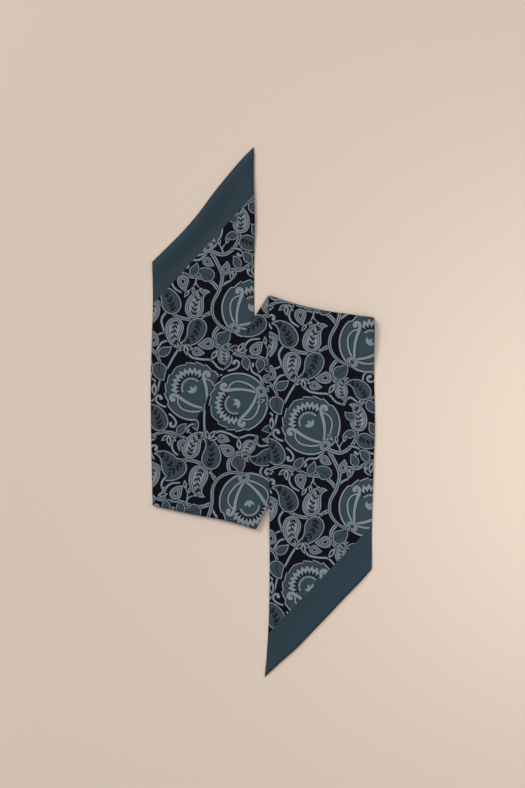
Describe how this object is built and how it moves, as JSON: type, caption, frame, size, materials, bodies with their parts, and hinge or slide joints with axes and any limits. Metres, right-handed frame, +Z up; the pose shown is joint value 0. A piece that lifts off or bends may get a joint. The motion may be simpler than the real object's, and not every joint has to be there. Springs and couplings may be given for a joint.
{
  "type": "skinny silk scarf, laid flat in a z fold",
  "caption": "Long narrow double-sided printed silk scarf with slanted ends, laid flat and folded in a loose Z.",
  "frame": {"origin": "on the table, under the middle of the scarf's bounding box", "axes": "+Z up off the table, +Y along the tails towards the left tail's tip, +X towards the right tail"},
  "size_m": [0.2188, 0.5169, 0.0094],
  "materials": {
    "silk_front": "printed silk twill, soft sheen: navy ground, teal and grey-blue paisley and vine print, plain teal end band",
    "silk_back": "printed silk twill, soft sheen: the same print on the back panel"
  },
  "bodies": {
    "root": {"left_tail_back": "silk_back", "left_tail_front": "silk_front", "middle_front": "silk_front", "middle_back": "silk_back", "right_tail_back": "silk_back", "right_tail_front": "silk_front"}
  },
  "joints": []
}
